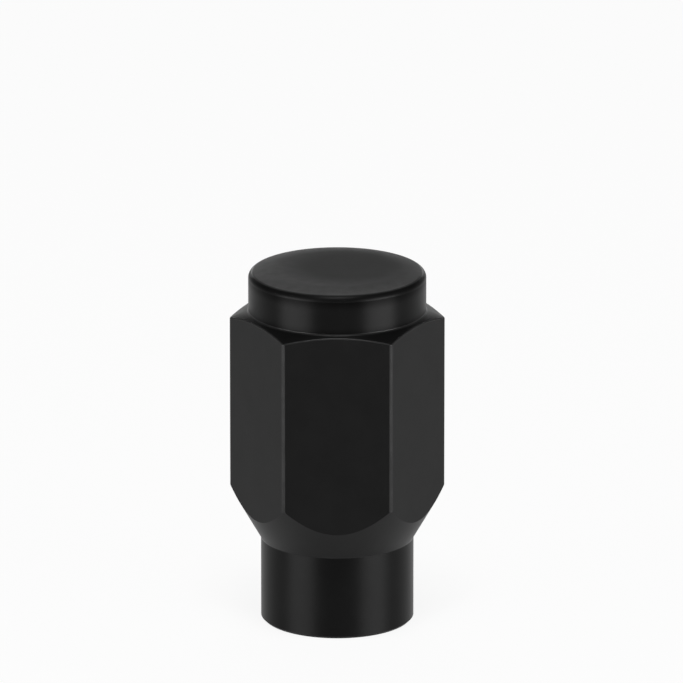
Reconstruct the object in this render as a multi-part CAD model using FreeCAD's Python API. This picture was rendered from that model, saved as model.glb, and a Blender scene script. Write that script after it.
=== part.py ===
import FreeCAD
import Part
import math
import os

# Closed-end wheel lug nut with an extended shank, one piece of hexagon steel bar.
# The bar is turned to a round head, a chamfered top shoulder, a 60 degree seat cone
# and a plain shank, and a blind threaded hole is bored up into it from below.
# Millimetres, +Z up. The origin is the centre of the shank's bottom end.

# Driving dimensions of the outside
across_flats = 19.0
flat_corner_round = 0.42
overall_height = 36.95
shank_diameter = 15.56
shank_length = 8.65
shank_end_chamfer = 0.25
seat_angle = 60.0
seat_foot_round = 0.25
head_diameter = 18.06
head_height = 4.35
head_rim_round = 0.65
head_foot_round = 0.2
top_flat_diameter = 12.0
top_roll_radius = 12.0
shoulder_angle = 23.5
shoulder_edge_chamfer = 0.1

# Driving dimensions of the blind threaded hole
thread_diameter = 12.0
thread_pitch = 1.5
hole_depth = 29.0
drill_point_angle = 118.0
mouth_diameter = 12.8
mouth_angle = 90.0

# How far the turning blank and the cutting tools reach past the metal, and the head's
# root into the body
spare = 1.0

# Worked out from the driving dimensions
shank_radius = shank_diameter / 2
head_radius = head_diameter / 2
top_flat_radius = top_flat_diameter / 2
head_base_z = overall_height - head_height
corner_radius = across_flats / math.sqrt(3)
blank_radius = corner_radius + spare
seat_half = math.radians(seat_angle / 2)
shoulder_slope = math.radians(shoulder_angle)
drill_point_half = math.radians(drill_point_angle / 2)
mouth_half = math.radians(mouth_angle / 2)
# Basic profile of the metric thread: the minor diameter is 5/8 of the
# sharp triangle's height in from the major diameter on each side.
thread_minor_diameter = thread_diameter - 2 * thread_pitch * math.cos(math.radians(30)) * 5 / 8
hole_radius = thread_minor_diameter / 2


def vec(radius, height):
    """A point of a turned section: distance from the axis, height."""
    return FreeCAD.Vector(radius, 0, height)


def unit(direction):
    return direction / direction.Length


def halfway(first, second):
    """The unit vector halfway between two directions."""
    return unit(unit(first) + unit(second))


def round_corner(before, corner, after, radius):
    """The arc tangent to both lines that meet at a corner of the section, as three points."""
    to_before = unit(before - corner)
    to_after = unit(after - corner)
    half_angle = to_before.getAngle(to_after) / 2
    start = corner + to_before * (radius / math.tan(half_angle))
    end = corner + to_after * (radius / math.tan(half_angle))
    middle = corner + halfway(to_before, to_after) * (radius / math.sin(half_angle) - radius)
    return start, middle, end


def rolled_rim():
    """The head's rim as two tangent arcs: a tight one off the side, an easy one off the flat top."""
    roll_centre = vec(top_flat_radius, overall_height - top_roll_radius)
    centre_distance = top_roll_radius - head_rim_round
    reach = head_radius - head_rim_round - top_flat_radius
    rise = math.sqrt(centre_distance ** 2 - reach ** 2)
    rim_centre = roll_centre + vec(reach, rise)
    outward = vec(1, 0)
    upward = vec(0, 1)
    meeting = unit(vec(reach, rise))
    rim = [
        rim_centre + outward * head_rim_round,
        rim_centre + halfway(outward, meeting) * head_rim_round,
        rim_centre + meeting * head_rim_round,
    ]
    roll = [
        rim[2],
        roll_centre + halfway(meeting, upward) * top_roll_radius,
        roll_centre + upward * top_roll_radius,
    ]
    return rim, roll


def revolve(edges):
    """A solid turned about Z from the edges of a closed section."""
    face = Part.Face(Part.Wire(edges))
    return face.revolve(vec(0, 0), vec(0, 1), 360)


def line(start, end):
    return Part.LineSegment(start, end).toShape()


def arc(start, middle, end):
    return Part.Arc(start, middle, end).toShape()


def shoulder_point(radius):
    """A point on the sloping shoulder, or on its line carried on in or out."""
    return vec(radius, head_base_z - (radius - head_radius) * math.tan(shoulder_slope))


def turned_body():
    """The shank, the seat and the shoulder as they leave the lathe, before the flats."""
    axis_bottom = vec(0, 0)
    end_edge = vec(shank_radius - shank_end_chamfer, 0)
    shank_end = vec(shank_radius, shank_end_chamfer)
    seat_foot = vec(shank_radius, shank_length)
    seat_rise = (blank_radius - shank_radius) / math.tan(seat_half)
    seat_top = vec(blank_radius, shank_length + seat_rise)
    seat_arc = round_corner(shank_end, seat_foot, seat_top, seat_foot_round)
    shoulder_edge = shoulder_point(blank_radius)
    under_head = shoulder_point(head_radius / 2)
    axis_top = vec(0, under_head.z)
    return revolve([
        line(axis_bottom, end_edge),
        line(end_edge, shank_end),
        line(shank_end, seat_arc[0]),
        arc(*seat_arc),
        line(seat_arc[2], seat_top),
        line(seat_top, shoulder_edge),
        line(shoulder_edge, under_head),
        line(under_head, axis_top),
        line(axis_top, axis_bottom),
    ])


def turned_head():
    """The round head; the small hollow round at its foot runs out on the shoulder."""
    rim, roll = rolled_rim()
    head_foot = shoulder_point(head_radius)
    foot_arc = round_corner(shoulder_point(blank_radius), head_foot, rim[0], head_foot_round)
    root = vec(0, foot_arc[0].z - spare)
    axis_top = vec(0, overall_height)
    return revolve([
        line(root, foot_arc[0]),
        arc(*foot_arc),
        line(foot_arc[2], rim[0]),
        arc(*rim),
        arc(*roll),
        line(roll[2], axis_top),
        line(axis_top, root),
    ])


def hexagon_bar():
    """The hexagon bar with its six long edges rounded; one flat faces -Y."""
    corners = []
    for i in range(6):
        angle = math.radians(60 * i)
        corners.append(FreeCAD.Vector(math.cos(angle), math.sin(angle), 0) * corner_radius)
    section = Part.Face(Part.makePolygon(corners + corners[:1]))
    bar = section.extrude(vec(0, overall_height + spare))
    long_edges = [edge for edge in bar.Edges if edge.Length > across_flats]
    return bar.makeFillet(flat_corner_round, long_edges)


def threaded_hole():
    """The blind hole at the thread's minor diameter, with a drill point and a countersunk mouth."""
    mouth_radius = mouth_diameter / 2
    mouth_depth = (mouth_radius - hole_radius) / math.tan(mouth_half)
    point_height = hole_radius / math.tan(drill_point_half)
    outline = [
        vec(0, -spare),
        vec(mouth_radius, -spare),
        vec(mouth_radius, 0),
        vec(hole_radius, mouth_depth),
        vec(hole_radius, hole_depth),
        vec(0, hole_depth + point_height),
    ]
    edges = [line(outline[i - 1], outline[i]) for i in range(len(outline))]
    return revolve(edges)


def shoulder_edges(body):
    """The arched edges where the turned shoulder runs out on the flats and their corners."""
    lowest = shoulder_point(corner_radius).z
    found = []
    for edge in body.Edges:
        nearest = min(math.hypot(end.X, end.Y) for end in edge.Vertexes)
        if nearest > across_flats / 2 and edge.BoundBox.ZMin > lowest - flat_corner_round:
            found.append(edge)
    return found


body = turned_body().common(hexagon_bar())
body = body.makeChamfer(shoulder_edge_chamfer, shoulder_edges(body))
nut = body.fuse(turned_head()).cut(threaded_hole())
nut = nut.Solids[0]

os.makedirs("parts", exist_ok=True)
nut.exportStep("parts/lug_nut.step")
print("lug_nut: valid", nut.isValid(), "volume mm3", round(nut.Volume, 1))
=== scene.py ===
import math

import bmesh
import bpy
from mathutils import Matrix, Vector


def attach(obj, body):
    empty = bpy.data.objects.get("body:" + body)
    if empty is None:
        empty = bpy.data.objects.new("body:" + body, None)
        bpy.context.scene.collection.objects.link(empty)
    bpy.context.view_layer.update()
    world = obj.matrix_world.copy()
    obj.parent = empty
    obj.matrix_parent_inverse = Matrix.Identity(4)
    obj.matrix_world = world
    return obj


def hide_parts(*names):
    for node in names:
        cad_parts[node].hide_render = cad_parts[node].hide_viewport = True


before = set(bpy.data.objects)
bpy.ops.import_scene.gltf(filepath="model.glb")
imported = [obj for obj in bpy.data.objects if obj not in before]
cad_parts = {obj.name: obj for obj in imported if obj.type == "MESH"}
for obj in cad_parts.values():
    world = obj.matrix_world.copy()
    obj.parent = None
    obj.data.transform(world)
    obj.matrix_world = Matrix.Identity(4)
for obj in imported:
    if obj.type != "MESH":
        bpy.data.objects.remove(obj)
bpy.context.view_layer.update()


# The nut is one length of hexagon steel bar. A lathe turns its round head, its shoulder,
# its 60 degree seat and its plain shank, and the six flats are what is left of the bar.
# Sizes are in millimetres until the finished mesh is brought to metres.
metre = 0.001
across_flats = 19.0
flat_corner_round = 0.42
overall_height = 36.95
shank_radius = 7.78
shank_length = 8.65
shank_end_chamfer = 0.25
seat_angle = 60.0
seat_foot_round = 0.25
head_radius = 9.03
head_height = 4.35
head_rim_round = 0.65
head_foot_round = 0.2
top_flat_radius = 6.0
top_roll_radius = 12.0
shoulder_angle = 23.5
shoulder_edge_round = 0.1
lathe_steps = 240
merge_gap = 0.0001
cut_gap = merge_gap / 10


def turn_straight(metal, tip, radius, height):
    """Carry the lathe's section on from its last point in a straight line."""
    end = bmesh.ops.extrude_vert_indiv(metal, verts=[tip])["verts"][0]
    end.co = (radius, 0, height)
    return end


def turn_round(metal, tip, centre, degrees, steps):
    """Carry the section on in an arc about a centre, clockwise where degrees is above 0."""
    swept = bmesh.ops.spin(
        metal, geom=[tip], cent=(centre[0], 0, centre[1]), axis=(0, 1, 0),
        angle=math.radians(degrees), steps=steps,
    )
    return [part for part in swept["geom_last"] if isinstance(part, bmesh.types.BMVert)][0]


def mill(metal, direction, distance, kind):
    """Take off the metal past an upright plane and close the cut with one flat face."""
    everything = metal.verts[:] + metal.edges[:] + metal.faces[:]
    cut = bmesh.ops.bisect_plane(
        metal, geom=everything, dist=cut_gap, plane_co=direction * distance,
        plane_no=direction, clear_outer=True,
    )
    rim = [part for part in cut["geom_cut"] if isinstance(part, bmesh.types.BMEdge)]
    for face in bmesh.ops.edgeloop_fill(metal, edges=rim)["faces"]:
        face[finish] = kind


def heading(degrees):
    """The level direction so many degrees round from X."""
    return Vector((math.cos(math.radians(degrees)), math.sin(math.radians(degrees)), 0))


# The finish of each face, kept with it: how much of it is lathe-turned, seat, and worn edge or
# painted highlight on a hollow round.
turned = Vector((1, 0, 0))
shank_turned = Vector((0.8, 0, 0))
rim_turned = Vector((0.5, 0, 0))
shoulder_turned = Vector((0.3, 0, 0))
seat = Vector((0, 1, 0))
edge_wear = Vector((0, 0, 1))
arch_wear = Vector((0, 0, 0.6))
# The hollow rounds at the head's foot and at the seat's foot get a painted highlight line,
# carried in the worn-edge share.
painted_foot_highlight = Vector((0, 0, 0.3))
rim_wear = Vector((0, 0, 0.3))
rolled = Vector((0, 0, 0))

metal = bmesh.new()
finish = metal.faces.layers.float_vector.new("finish")
corner_radius = across_flats / math.sqrt(3)
blank_radius = corner_radius + 1
head_base = overall_height - head_height

# The head's flat top rolls off easily, then turns tightly down into its side.
roll_centre = (top_flat_radius, overall_height - top_roll_radius)
reach = head_radius - head_rim_round - top_flat_radius
rise = math.sqrt((top_roll_radius - head_rim_round) ** 2 - reach ** 2)
roll_turn = math.degrees(math.atan2(reach, rise))
rim_centre = (roll_centre[0] + reach, roll_centre[1] + rise)
tip = bmesh.ops.create_vert(metal, co=(0, 0, overall_height))["vert"][0]
tip = turn_straight(metal, tip, top_flat_radius, overall_height)
tip = turn_round(metal, tip, roll_centre, roll_turn, 8)
tip = turn_round(metal, tip, rim_centre, 90 - roll_turn, 12)

# A small hollow round joins the head's side to the sloping shoulder.
foot_turn = 90 - shoulder_angle
foot_start = head_base + head_foot_round * math.tan(math.radians(foot_turn / 2))
tip = turn_straight(metal, tip, head_radius, foot_start)
tip = turn_round(metal, tip, (head_radius + head_foot_round, foot_start), -foot_turn, 8)
shoulder_drop = (blank_radius - head_radius) * math.tan(math.radians(shoulder_angle))
tip = turn_straight(metal, tip, blank_radius, head_base - shoulder_drop)

# The seat runs in at half its angle to another small hollow round on the shank.
seat_slope = math.tan(math.radians(seat_angle / 2))
seat_start = shank_length - seat_foot_round * math.tan(math.radians(seat_angle / 4))
seat_foot_centre = (shank_radius + seat_foot_round, seat_start)
seat_foot_top = (
    seat_foot_centre[0] - seat_foot_round * math.cos(math.radians(seat_angle / 2)),
    seat_foot_centre[1] + seat_foot_round * math.sin(math.radians(seat_angle / 2)),
)
seat_top = shank_length + (blank_radius - shank_radius) / seat_slope
tip = turn_straight(metal, tip, blank_radius, seat_top)
tip = turn_straight(metal, tip, *seat_foot_top)
tip = turn_round(metal, tip, seat_foot_centre, -seat_angle / 2, 4)
tip = turn_straight(metal, tip, shank_radius, shank_end_chamfer)
tip = turn_straight(metal, tip, shank_radius - shank_end_chamfer, 0)

bmesh.ops.spin(
    metal, geom=metal.verts[:] + metal.edges[:], cent=(0, 0, 0), axis=(0, 0, 1),
    angle=math.tau, steps=lathe_steps, use_merge=True,
)
bmesh.ops.remove_doubles(metal, verts=metal.verts[:], dist=merge_gap)
rim_top = overall_height - top_roll_radius * (1 - math.cos(math.radians(roll_turn)))
worn_rim_angle = 30.0
worn_rim_start = rim_centre[1] + head_rim_round * math.cos(math.radians(worn_rim_angle))
head_foot_low = head_base - head_foot_round
for face in metal.faces:
    middle = face.calc_center_median()
    on_head_foot = head_foot_low < middle.z < foot_start
    on_seat_foot = seat_start < middle.z < seat_foot_top[1]
    near_axis = math.hypot(middle.x, middle.y) < head_radius + head_foot_round
    face[finish] = seat if seat_foot_top[1] < middle.z < seat_top else turned
    if middle.z < seat_start:
        face[finish] = shank_turned
    if seat_top < middle.z < head_base:
        face[finish] = shoulder_turned
    # Painted highlight: the hollow rounds at the head's foot and the seat's foot get a share of
    # the edge wear, so that they show a bright line.
    if near_axis and (on_head_foot or on_seat_foot):
        face[finish] = painted_foot_highlight
    if middle.z > rim_centre[1]:
        face[finish] = rim_turned
    if middle.z > worn_rim_start:
        face[finish] = rim_wear if middle.z < rim_top else rolled

# The bar's flats, and its long edges as narrow facets round their small radius.
corner_steps = 8
for side in range(6):
    mill(metal, heading(60 * side + 30), across_flats / 2, rolled)
for corner in range(6):
    round_centre = (across_flats / 2 - flat_corner_round) / math.cos(math.radians(30))
    for step in range(1, corner_steps):
        turn = 60 * step / corner_steps - 30
        across = round_centre * math.cos(math.radians(turn)) + flat_corner_round
        mill(metal, heading(60 * corner + turn), across, edge_wear)

# The arched edges where the shoulder runs out on the flats are lightly rounded. They lie in
# the nut's upper half, each between an upright face and a sloping one.
upright, sloping, level = 0.01, 0.5, 0.99
metal.normal_update()
arches = []
for edge in metal.edges:
    if len(edge.link_faces) == 2 and min(vert.co.z for vert in edge.verts) > overall_height / 2:
        low, high = sorted(abs(face.normal.z) for face in edge.link_faces)
        if low < upright and sloping < high < level:
            arches.append(edge)
rounded = bmesh.ops.bevel(
    metal, geom=arches, affect="EDGES", offset=shoulder_edge_round, segments=4,
    profile=0.5, material=-1, clamp_overlap=True,
)
for face in rounded["faces"]:
    face[finish] = arch_wear

# The blind hole is drilled, tapped M12 x 1.5 right-hand, and countersunk at its mouth.
thread_pitch = 1.5
thread_radius = 6.0
thread_length = 26.5
run_out = 0.6
hole_depth = 29.0
drill_point_angle = 118.0
mouth_radius = 6.4
tap_steps = 72
thread_seam_gap = merge_gap * 20
tap_turns = math.ceil(thread_length / thread_pitch) + 3
thread_depth = thread_pitch * math.cos(math.radians(30)) * 5 / 8
hole_radius = thread_radius - thread_depth
crest_width = thread_pitch / 4
flank_width = thread_depth * math.tan(math.radians(30))

tap = bmesh.new()
tip = bmesh.ops.create_vert(tap, co=(hole_radius, 0, -2 * thread_pitch))["vert"][0]
for radius, climb in (
    (hole_radius, crest_width),
    (thread_radius, flank_width),
    (thread_radius, thread_pitch - crest_width - 2 * flank_width),
    (hole_radius, flank_width),
):
    tip = turn_straight(tap, tip, radius, tip.co.z + climb)
bmesh.ops.subdivide_edges(tap, edges=tap.edges[:], cuts=3)
bmesh.ops.spin(
    tap, geom=tap.verts[:] + tap.edges[:], cent=(0, 0, 0), axis=(0, 0, 1),
    dvec=(0, 0, thread_pitch / tap_steps), angle=math.tau, steps=tap_steps,
)
first_turn = tap.verts[:] + tap.edges[:] + tap.faces[:]
for turn in range(1, tap_turns):
    copied = bmesh.ops.duplicate(tap, geom=first_turn)["geom"]
    raised = [part for part in copied if isinstance(part, bmesh.types.BMVert)]
    bmesh.ops.translate(tap, verts=raised, vec=(0, 0, turn * thread_pitch))
bmesh.ops.remove_doubles(tap, verts=tap.verts[:], dist=thread_seam_gap)
for height, outwards in ((0, -1), (thread_length, 1)):
    end = bmesh.ops.bisect_plane(
        tap, geom=tap.verts[:] + tap.edges[:] + tap.faces[:], dist=cut_gap,
        plane_co=(0, 0, height), plane_no=(0, 0, outwards), clear_outer=True,
    )
for vert in tap.verts:
    radius = math.hypot(vert.co.x, vert.co.y)
    countersunk = mouth_radius - vert.co.z
    if radius < countersunk:
        vert.co.x *= countersunk / radius
        vert.co.y *= countersunk / radius

# From the thread's upper end the tap runs out in the plain drilled hole, which ends in the
# drill's point.
rim = [part for part in end["geom_cut"] if isinstance(part, bmesh.types.BMEdge)]
for height in (thread_length + run_out, hole_depth):
    grown = bmesh.ops.extrude_edge_only(tap, edges=rim)["geom"]
    rim = [part for part in grown if isinstance(part, bmesh.types.BMEdge)]
    for vert in (part for part in grown if isinstance(part, bmesh.types.BMVert)):
        radius = math.hypot(vert.co.x, vert.co.y)
        vert.co.x *= hole_radius / radius
        vert.co.y *= hole_radius / radius
        vert.co.z = height
point_height = hole_radius / math.tan(math.radians(drill_point_angle / 2))
grown = bmesh.ops.extrude_edge_only(tap, edges=rim)["geom"]
point = [part for part in grown if isinstance(part, bmesh.types.BMVert)]
bmesh.ops.pointmerge(tap, verts=point, merge_co=(0, 0, hole_depth + point_height))

# The hole joins the outside at the shank's flat end. Edges that turn sharply stay crisp.
tapped_hole = bpy.data.meshes.new("tapped_hole")
tap.to_mesh(tapped_hole)
tap.free()
metal.from_mesh(tapped_hole)
bpy.data.meshes.remove(tapped_hole)
bmesh.ops.bridge_loops(metal, edges=[edge for edge in metal.edges if edge.is_boundary])
bmesh.ops.recalc_face_normals(metal, faces=metal.faces[:])
crisp_turn = math.radians(25)
for face in metal.faces:
    face.smooth = True
for edge in metal.edges:
    edge.smooth = edge.calc_face_angle(0) < crisp_turn
bmesh.ops.scale(metal, vec=(metre, metre, metre), verts=metal.verts[:])

nut_mesh = bpy.data.meshes.new("nut")
metal.to_mesh(nut_mesh)
metal.free()
nut = bpy.data.objects.new("nut", nut_mesh)
bpy.context.scene.collection.objects.link(nut)
even_shading = nut.modifiers.new("even shading", "WEIGHTED_NORMAL")
even_shading.keep_sharp = True
even_shading.weight = 80
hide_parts("lug_nut")
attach(nut, "root")


# The nut has a thin satin black coat over the steel. It is smoothest on the rolled flats of
# the bar, and duller on the head's top, on the seat and on the turned faces, which keep the
# lathe's fine rings. On the edges it is rubbed smooth and bright by handling.
coat = bpy.data.materials.new("black_coat")
coat.use_nodes = True
nodes = coat.node_tree.nodes
links = coat.node_tree.links
satin = nodes["Principled BSDF"]


def number(operation, first, second):
    """Work on the first node's output with the second, which may be a plain number."""
    tree = first.id_data
    node = tree.nodes.new("ShaderNodeMath")
    node.operation = operation
    for socket, value in zip(node.inputs, (first, second)):
        if isinstance(value, bpy.types.NodeSocket):
            tree.links.new(value, socket)
        else:
            socket.default_value = value
    return node.outputs[0]


def cloud(scale, detail):
    """Soft uneven patches, scale patches to the metre, as a number that averages 0."""
    node = nodes.new("ShaderNodeTexNoise")
    node.inputs["Scale"].default_value = scale
    node.inputs["Detail"].default_value = detail
    links.new(place.outputs["Object"], node.inputs["Vector"])
    return number("SUBTRACT", node.outputs[0], 0.5)


def halfway_up(height, full, reach):
    """1 within full of a height, fading softly to 0 at reach from it, in millimetres."""
    fade = nodes.new("ShaderNodeMapRange")
    fade.interpolation_type = "SMOOTHSTEP"
    fade.inputs["From Min"].default_value = reach * metre
    fade.inputs["From Max"].default_value = full * metre
    away = number("ABSOLUTE", number("SUBTRACT", spot.outputs["Z"], height * metre), 0)
    links.new(away, fade.inputs["Value"])
    return fade.outputs[0]


def coat_value(plain, *finishes):
    """The plain coat's value, changed by an amount for each finish as far as it is there."""
    total = plain
    for there, amount in finishes:
        total = number("ADD", number("MULTIPLY", there, amount), total)
    return total


place = nodes.new("ShaderNodeTexCoord")
kept = nodes.new("ShaderNodeAttribute")
kept.attribute_name = "finish"
kinds = nodes.new("ShaderNodeSeparateXYZ")
links.new(kept.outputs["Vector"], kinds.inputs[0])
is_turned, is_seat, is_worn_edge_or_foot_sheen = kinds.outputs
spot = nodes.new("ShaderNodeSeparateXYZ")
links.new(place.outputs["Object"], spot.inputs[0])
is_top = number("GREATER_THAN", spot.outputs["Z"], rim_top * metre)

# The coat is rubbed on the edges. The head's top is painted lighter and shinier from near its
# middle, a little off the axis, more and more towards the rim: this is a painted reflection.
top_sheen_centre_x, top_sheen_centre_y = 1.2, 0.8
top_sheen_start, top_sheen_full = 3.5, 9.5
mottle = cloud(scale=300, detail=4)
out_x = number("SUBTRACT", spot.outputs["X"], top_sheen_centre_x * metre)
out_y = number("SUBTRACT", spot.outputs["Y"], top_sheen_centre_y * metre)
out_x = number("MULTIPLY", out_x, out_x)
out_y = number("MULTIPLY", out_y, out_y)
outwards = nodes.new("ShaderNodeMapRange")
outwards.interpolation_type = "SMOOTHSTEP"
outwards.inputs["From Min"].default_value = top_sheen_start * metre
outwards.inputs["From Max"].default_value = top_sheen_full * metre
links.new(number("SQRT", number("ADD", out_x, out_y), 0), outwards.inputs["Value"])
painted_top_sheen = number("MULTIPLY", outwards.outputs[0], is_top)
worn_edge_and_foot_sheen = number("MULTIPLY", is_worn_edge_or_foot_sheen, 0.65)
patchy = number("ADD", cloud(scale=900, detail=3), 1.0)
wear_and_painted_sheen = number("MULTIPLY", number("ADD", worn_edge_and_foot_sheen, painted_top_sheen), patchy)

# Painted sheen: the sides of the head and the shank shine more in a band round their middles
# and less towards their ends, and the shank's band is the weaker one, standing in for how the
# lamps mirror in them.
head_middle, shank_middle = 34.2, 4.2
mid_head = halfway_up(head_middle, full=0.8, reach=1.8)
mid_shank = number("MULTIPLY", halfway_up(shank_middle, full=4.6, reach=9.0), 0.65)
painted_sheen_band = number("MAXIMUM", mid_head, mid_shank)
painted_side_sheen = number("SUBTRACT", number("MULTIPLY", painted_sheen_band, 0.065), 0.015)

# How light the black is, how much it shines and how dull its shine is
# The worn edges, the painted top reflection and the painted highlight on the hollow rounds
# lighten the black and raise its shine.
shade = coat_value(0.004, (mottle, 0.0015), (is_turned, -0.0032), (wear_and_painted_sheen, 0.02))
shine = coat_value(
    0.073, (mottle, 0.02), (is_turned, painted_side_sheen), (is_seat, 0.075), (is_top, 0.04),
    (wear_and_painted_sheen, 0.15),
)
roughness = coat_value(
    0.34, (mottle, 0.08), (is_top, 0.1), (is_turned, 0.12), (is_seat, 0.11), (is_worn_edge_or_foot_sheen, -0.14),
)
links.new(shade, satin.inputs["Base Color"])
links.new(shine, satin.inputs["Specular IOR Level"])
links.new(roughness, satin.inputs["Roughness"])

# The lathe's fine rings run round the axis and draw each lamp's shine out along it.
ring_strength = 0.82
links.new(number("MULTIPLY", is_turned, ring_strength), satin.inputs["Anisotropic"])
satin.inputs["Anisotropic Rotation"].default_value = 0.25
round_axis = nodes.new("ShaderNodeTangent")
round_axis.direction_type = "RADIAL"
round_axis.axis = "Z"
links.new(round_axis.outputs[0], satin.inputs["Tangent"])

# The coat's fine grain
skin = nodes.new("ShaderNodeBump")
skin.inputs["Strength"].default_value = 0.3
skin.inputs["Distance"].default_value = 0.00001
links.new(cloud(scale=3500, detail=2), skin.inputs["Height"])
links.new(skin.outputs[0], satin.inputs["Normal"])
nut_mesh.materials.append(coat)


# A plain pale floor, the studio's table. Part of its white is its own, so that it shows
# white round the nut, and the rest is lit by the lamps, so that the nut's shadow stays.
# It lies a hair below the nut, so that the two don't share one plane.
floor_reach = 3.0
floor_gap = 0.02
own_white_share = 0.9
floor_mesh = bpy.data.meshes.new("floor")
slab = bmesh.new()
bmesh.ops.create_grid(slab, x_segments=1, y_segments=1, size=floor_reach)
bmesh.ops.translate(slab, verts=slab.verts[:], vec=(0, 0, -floor_gap * metre))
slab.to_mesh(floor_mesh)
slab.free()
floor = bpy.data.objects.new("floor", floor_mesh)
bpy.context.scene.collection.objects.link(floor)
pale = bpy.data.materials.new("pale_floor")
pale.use_nodes = True
floor_nodes = pale.node_tree.nodes
floor_links = pale.node_tree.links
lit = floor_nodes["Principled BSDF"]
lit.inputs["Base Color"].default_value = (0.94, 0.94, 0.94, 1)
lit.inputs["Roughness"].default_value = 0.9
lit.inputs["Specular IOR Level"].default_value = 0.1
own_white = floor_nodes.new("ShaderNodeEmission")
seen = floor_nodes.new("ShaderNodeLightPath")
share = number("MAXIMUM", seen.outputs["Is Camera Ray"], seen.outputs["Is Glossy Ray"])
share = number("MAXIMUM", share, seen.outputs["Is Transmission Ray"])
blend = floor_nodes.new("ShaderNodeMixShader")
floor_links.new(number("MULTIPLY", share, own_white_share), blend.inputs[0])
floor_links.new(lit.outputs[0], blend.inputs[1])
floor_links.new(own_white.outputs[0], blend.inputs[2])

# From below, the floor lets the camera see the nut's underside.
back = floor_nodes.new("ShaderNodeNewGeometry")
clear = floor_nodes.new("ShaderNodeBsdfTransparent")
see_through = floor_nodes.new("ShaderNodeMixShader")
from_below = number("MULTIPLY", seen.outputs["Is Camera Ray"], back.outputs["Backfacing"])
floor_links.new(from_below, see_through.inputs[0])
floor_links.new(blend.outputs[0], see_through.inputs[1])
floor_links.new(clear.outputs[0], see_through.inputs[2])
floor_links.new(see_through.outputs[0], floor_nodes["Material Output"].inputs["Surface"])
floor_mesh.materials.append(pale)


# Plain soft studio light in a dim grey room: a low strip on each side of the camera, too low
# for the nut's level top to mirror, three dim low boxes and a high one behind the nut, and
# one overhead.
def softbox(name, azimuth, elevation, distance, width, height, power):
    """A rectangular lamp aimed at the nut; azimuth is 0 at the camera and + to its right."""
    data = bpy.data.lights.new(name, "AREA")
    data.shape = "RECTANGLE"
    data.size = width
    data.size_y = height
    data.energy = power
    lamp = bpy.data.objects.new(name, data)
    turn, rise = math.radians(azimuth), math.radians(elevation)
    lamp.location = (
        distance * math.sin(turn) * math.cos(rise),
        -distance * math.cos(turn) * math.cos(rise),
        distance * math.sin(rise),
    )
    lamp.rotation_euler = (math.pi / 2 - rise, 0, turn)
    bpy.context.scene.collection.objects.link(lamp)


softbox("left", -54, 2.1, 0.5, 0.36, 0.034, 2.65)
softbox("right", 56, 2.1, 0.5, 0.36, 0.034, 3.0)
softbox("back low", 180, 9.5, 1.0, 0.4, 0.12, 0.18)
softbox("back left", -163, 10, 1.0, 0.25, 0.12, 0.32)
softbox("back right", 163, 10, 1.0, 0.25, 0.12, 0.3)
softbox("back high", 180, 46, 1.0, 0.7, 0.36, 1.0)
softbox("over", 0, 75, 1.0, 0.35, 0.3, 5.5)
room = bpy.data.worlds.new("studio")
bpy.context.scene.world = room
room.use_nodes = True
room_light = room.node_tree.nodes["Background"]
room_light.inputs["Color"].default_value = (1, 1, 1, 1)
room_light.inputs["Strength"].default_value = 0.12


# The camera stands well back and a little above, square to one of the flats.
camera_aside = 0.000432
camera_back = 1.1445
camera_height = 0.3786
camera_dip = 16.9755
camera_data = bpy.data.cameras.new("camera")
camera_data.lens = 621.6
camera_data.sensor_width = 36
camera_data.clip_end = 20
camera = bpy.data.objects.new("camera", camera_data)
camera.location = (camera_aside, -camera_back, camera_height)
camera.rotation_euler = (math.radians(90 - camera_dip), 0, 0)
bpy.context.scene.collection.objects.link(camera)
bpy.context.scene.camera = camera
bpy.context.scene.view_settings.view_transform = "Standard"
